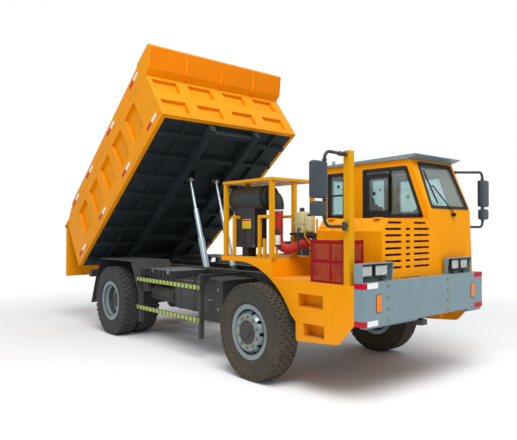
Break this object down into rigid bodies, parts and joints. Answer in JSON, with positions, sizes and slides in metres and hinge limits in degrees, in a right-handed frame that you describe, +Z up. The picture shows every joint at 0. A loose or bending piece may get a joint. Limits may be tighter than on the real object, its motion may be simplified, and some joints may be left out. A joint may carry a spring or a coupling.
{
  "type": "mining dump truck",
  "caption": "two-axle mining dump truck with an offset cab, open engine side and a raised steel bed with a swinging tailgate",
  "frame": {"origin": "middle of the whole truck's box on the ground", "axes": "+X forward, +Y to the truck's left, +Z up"},
  "size_m": [6.7533, 3.086, 4.2234],
  "materials": {
    "orange_paint": "semi_gloss",
    "yellow_paint": "semi_gloss",
    "grey_paint": "semi_gloss",
    "black_paint": "satin",
    "engine_iron": "satin",
    "black_plastic": "satin",
    "seat_fabric": "matte",
    "hose_rubber": "satin",
    "bottle_plastic": "satin",
    "mirror_shell": "satin",
    "red_paint": "semi_gloss",
    "lamp_lens": "gloss",
    "window_glass": "gloss",
    "chrome_rod": "polished",
    "tyre_rubber": "matte",
    "rim_silver": "semi_gloss"
  },
  "bodies": {
    "chassis": {"frame_rails": "black_paint", "cross_members": "black_paint", "frame_brackets": "black_paint", "axles": "black_paint", "leaf_springs": "black_paint", "engine": "engine_iron", "platform": "orange_paint", "raised_deck": "orange_paint", "side_panels": "orange_paint", "bumper": "grey_paint", "hood": "orange_paint", "cab_front": "orange_paint", "cab_sides": "orange_paint", "cab_back": "orange_paint", "cab_floor": "black_plastic", "cab_roof": "grey_paint", "cab_glass": "window_glass", "seat": "seat_fabric", "dashboard": "black_plastic", "cage_posts": "yellow_paint", "cage_braces": "yellow_paint", "cage_roof": "yellow_paint", "air_cleaner": "black_plastic", "intake_hose": "hose_rubber", "intake_duct": "black_plastic", "bottles_and_filter": "bottle_plastic", "mirror_post": "yellow_paint", "mirrors": "mirror_shell", "red_guard": "red_paint", "lamps": "lamp_lens", "rear_mudguards": "black_paint", "side_guards": "black_paint", "storage_boxes": "black_paint", "air_tank": "black_paint", "side_tanks": "black_paint", "door_hinges": "black_paint"},
    "bed": {"bed_floor": "orange_paint", "bed_beams": "black_paint", "bed_ribs": "black_paint", "bed_sides": "orange_paint", "bed_front_wall": "orange_paint"},
    "tailgate": {"tailgate": "orange_paint"},
    "hoist_barrels": {"hoist_barrels": "black_paint"},
    "hoist_outer_tubes": {"hoist_outer_tubes": "chrome_rod"},
    "hoist_inner_tubes": {"hoist_inner_tubes": "chrome_rod"},
    "hoist_rods": {"hoist_rods": "chrome_rod"},
    "knuckle_right": {"knuckle_right": "black_paint"},
    "knuckle_left": {"knuckle_left": "black_paint"},
    "tie_rod": {"tie_rod": "black_paint"},
    "front_wheel_right": {"front_tyre_right": "tyre_rubber", "front_rim_right": "rim_silver"},
    "front_wheel_left": {"front_tyre_left": "tyre_rubber", "front_rim_left": "rim_silver"},
    "rear_wheels_right": {"rear_tyres_right": "tyre_rubber", "rear_rims_right": "rim_silver"},
    "rear_wheels_left": {"rear_tyres_left": "tyre_rubber", "rear_rims_left": "rim_silver"},
    "cab_door": {"cab_door": "orange_paint", "door_glass": "window_glass"}
  },
  "joints": [
    {"name": "bed_hinge", "type": "hinge", "parent": "chassis", "child": "bed", "pos_m": [-2.366, 0, 0.96], "axis": [0, 1, 0], "range_deg": [-3, 37.4]},
    {"name": "tailgate_hinge", "type": "hinge", "parent": "bed", "child": "tailgate", "pos_m": [-3.33846, 0, 1.68626], "axis": [0, 1, 0], "range_deg": [-37.4, 45]},
    {"name": "hoist_swing", "type": "hinge", "parent": "chassis", "child": "hoist_barrels", "pos_m": [-0.144, 0, 0.5], "axis": [0, 1, 0], "range_deg": [-1.2, 13.6]},
    {"name": "hoist_outer_slide", "type": "slide", "parent": "hoist_barrels", "child": "hoist_outer_tubes", "axis": [-0.3177, 0, 0.9482], "range_m": [-0.448, 0.037]},
    {"name": "hoist_inner_slide", "type": "slide", "parent": "hoist_outer_tubes", "child": "hoist_inner_tubes", "axis": [-0.3177, 0, 0.9482], "range_m": [-0.448, 0.037]},
    {"name": "hoist_rod_slide", "type": "slide", "parent": "hoist_inner_tubes", "child": "hoist_rods", "axis": [-0.3177, 0, 0.9482], "range_m": [-0.448, 0.037]},
    {"name": "steer_right", "type": "hinge", "parent": "chassis", "child": "knuckle_right", "pos_m": [1.891, -0.96, 0.525], "axis": [0, 0, 1], "range_deg": [-30, 30]},
    {"name": "steer_left", "type": "hinge", "parent": "chassis", "child": "knuckle_left", "pos_m": [1.891, 0.96, 0.525], "axis": [0, 0, 1], "range_deg": [-30, 30]},
    {"name": "tie_rod_slide", "type": "slide", "parent": "chassis", "child": "tie_rod", "axis": [0, 1, 0], "range_m": [-0.095, 0.095]},
    {"name": "front_wheel_right_spin", "type": "hinge", "parent": "knuckle_right", "child": "front_wheel_right", "pos_m": [1.891, -1.074, 0.525], "axis": [0, 1, 0], "continuous": true},
    {"name": "front_wheel_left_spin", "type": "hinge", "parent": "knuckle_left", "child": "front_wheel_left", "pos_m": [1.891, 1.074, 0.525], "axis": [0, 1, 0], "continuous": true},
    {"name": "rear_wheels_right_spin", "type": "hinge", "parent": "chassis", "child": "rear_wheels_right", "pos_m": [-1.566, -0.914, 0.525], "axis": [0, 1, 0], "continuous": true},
    {"name": "rear_wheels_left_spin", "type": "hinge", "parent": "chassis", "child": "rear_wheels_left", "pos_m": [-1.566, 0.914, 0.525], "axis": [0, 1, 0], "continuous": true},
    {"name": "cab_door_hinge", "type": "hinge", "parent": "chassis", "child": "cab_door", "pos_m": [3.119, 1.072, 1.76], "axis": [0, 0, -1], "range_deg": [0, 65]}
  ],
  "couplings": [
    {"joint": "hoist_swing", "follows": "bed_hinge", "ratio": 0.36},
    {"joint": "hoist_outer_slide", "follows": "bed_hinge", "m_per_rad": -0.684},
    {"joint": "hoist_inner_slide", "follows": "bed_hinge", "m_per_rad": -0.684},
    {"joint": "hoist_rod_slide", "follows": "bed_hinge", "m_per_rad": -0.684},
    {"joint": "steer_left", "follows": "steer_right", "ratio": 1},
    {"joint": "tie_rod_slide", "follows": "steer_right", "m_per_rad": -0.18}
  ]
}
